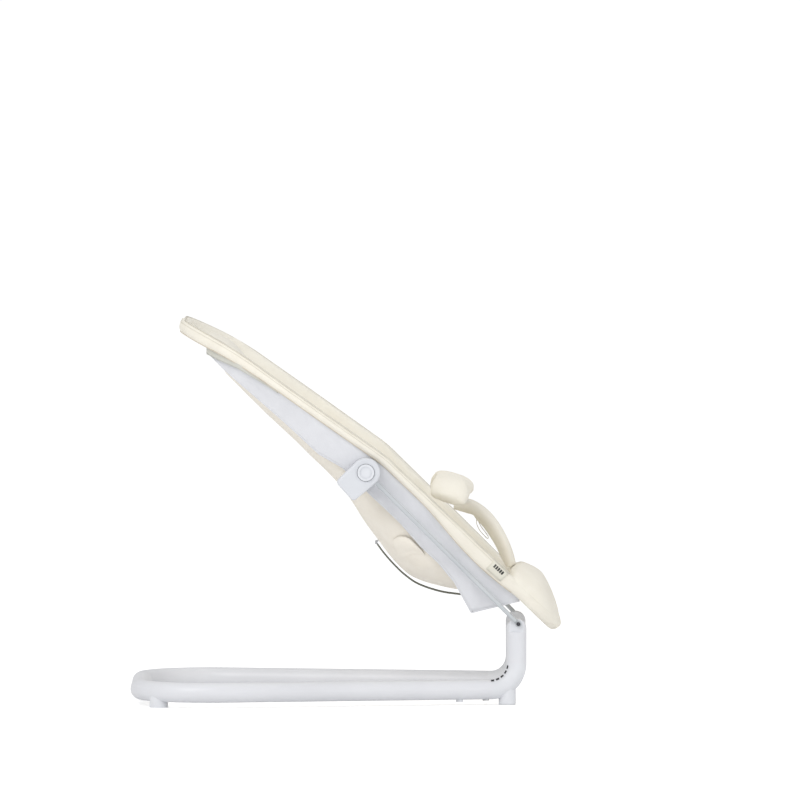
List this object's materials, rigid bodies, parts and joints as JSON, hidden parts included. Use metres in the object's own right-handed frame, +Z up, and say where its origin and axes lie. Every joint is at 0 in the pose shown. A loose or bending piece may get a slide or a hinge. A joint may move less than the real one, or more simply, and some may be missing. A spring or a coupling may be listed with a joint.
{
  "type": "bouncer seat",
  "caption": "Baby bouncer with a padded reclining bucket seat on spring rods, a tubular loop base, recline push buttons and a padded lap harness.",
  "frame": {"origin": "bottom centre of the whole object's box, on the surface that the feet stand on", "axes": "+X from the head end to the foot end, +Y towards the occupant's left side, +Z up"},
  "size_m": [0.6, 0.44, 0.5332],
  "materials": {
    "white_tube": "satin powder coat",
    "white_plastic": "fine moulded texture",
    "grey_rubber": "matt",
    "grey_mark": "matt raised dashes",
    "steel": "bright drawn wire and plated screws",
    "grey_plastic": "plain moulded",
    "frame_tube": "plain coat under the fabric",
    "cream_fabric": "soft knit over padding",
    "grey_fabric": "smooth woven side panel",
    "webbing": "narrow woven webbing",
    "dark_webbing": "dark woven webbing",
    "tag": "plain woven tag"
  },
  "bodies": {
    "base": {"base_tube": "white_tube", "elbow_left": "white_plastic", "elbow_right": "white_plastic", "elbow_marks_left": "grey_mark", "elbow_marks_right": "grey_mark", "front_foot_pads": "grey_rubber", "rear_foot_left": "white_plastic", "rear_foot_right": "white_plastic", "tube_screws": "steel", "tube_plugs": "white_plastic", "post_left": "white_tube", "post_right": "white_tube", "post_cap_left": "white_plastic", "post_cap_right": "white_plastic", "pivot_screws": "steel"},
    "rods": {"spring_rod_left": "steel", "spring_rod_right": "steel", "hub_housing_left": "white_plastic", "hub_housing_right": "white_plastic", "hub_back_plate_left": "white_plastic", "hub_back_plate_right": "white_plastic", "hub_screws": "steel", "hub_bolts": "steel"},
    "recline_button_left": {"recline_button_left": "white_plastic", "lock_ring_left": "grey_plastic"},
    "recline_button_right": {"recline_button_right": "white_plastic", "lock_ring_right": "grey_plastic"},
    "buckle_button": {"buckle_button": "grey_plastic"},
    "seat": {"adjuster_loop": "webbing", "back_hoop": "frame_tube", "back_rim_band": "cream_fabric", "buckle_body": "grey_plastic", "buckle_tongue_left": "grey_plastic", "buckle_tongue_right": "grey_plastic", "crotch_pad": "cream_fabric", "crotch_strap": "webbing", "foot_pad": "cream_fabric", "head_pad": "cream_fabric", "hub_nuts": "steel", "leg_hoop": "frame_tube", "leg_rim_band": "cream_fabric", "lock_spring_left": "steel", "lock_spring_right": "steel", "rim_tag": "tag", "seat_hub_left": "grey_plastic", "seat_hub_right": "grey_plastic", "seat_liner": "cream_fabric", "seat_sling": "cream_fabric", "side_panel_left": "grey_fabric", "side_panel_right": "grey_fabric", "strap_hook": "steel", "under_strap": "dark_webbing", "waist_pad_left": "cream_fabric", "waist_pad_right": "cream_fabric", "waist_strap_left": "webbing", "waist_strap_right": "webbing"}
  },
  "joints": [
    {"name": "bounce", "type": "hinge", "parent": "base", "child": "rods", "pos_m": [0.2415, 0, 0.1135], "axis": [0, -1, 0], "range_deg": [-4, 6], "stiffness_Nm_per_rad": 70, "springref_deg": -2.72},
    {"name": "recline", "type": "hinge", "parent": "rods", "child": "seat", "pos_m": [0.029, 0, 0.33], "axis": [0, -1, 0], "range_deg": [0, 17]},
    {"name": "press_recline_left", "type": "slide", "parent": "rods", "child": "recline_button_left", "axis": [0, -1, 0], "range_m": [0, 0.003], "stiffness_N_per_m": 900, "springref_m": -0.001},
    {"name": "press_recline_right", "type": "slide", "parent": "rods", "child": "recline_button_right", "axis": [0, 1, 0], "range_m": [0, 0.003], "stiffness_N_per_m": 900, "springref_m": -0.001},
    {"name": "press_buckle", "type": "slide", "parent": "seat", "child": "buckle_button", "axis": [-0.6428, 0, -0.766], "range_m": [0, 0.0025], "stiffness_N_per_m": 700, "springref_m": -0.001}
  ]
}
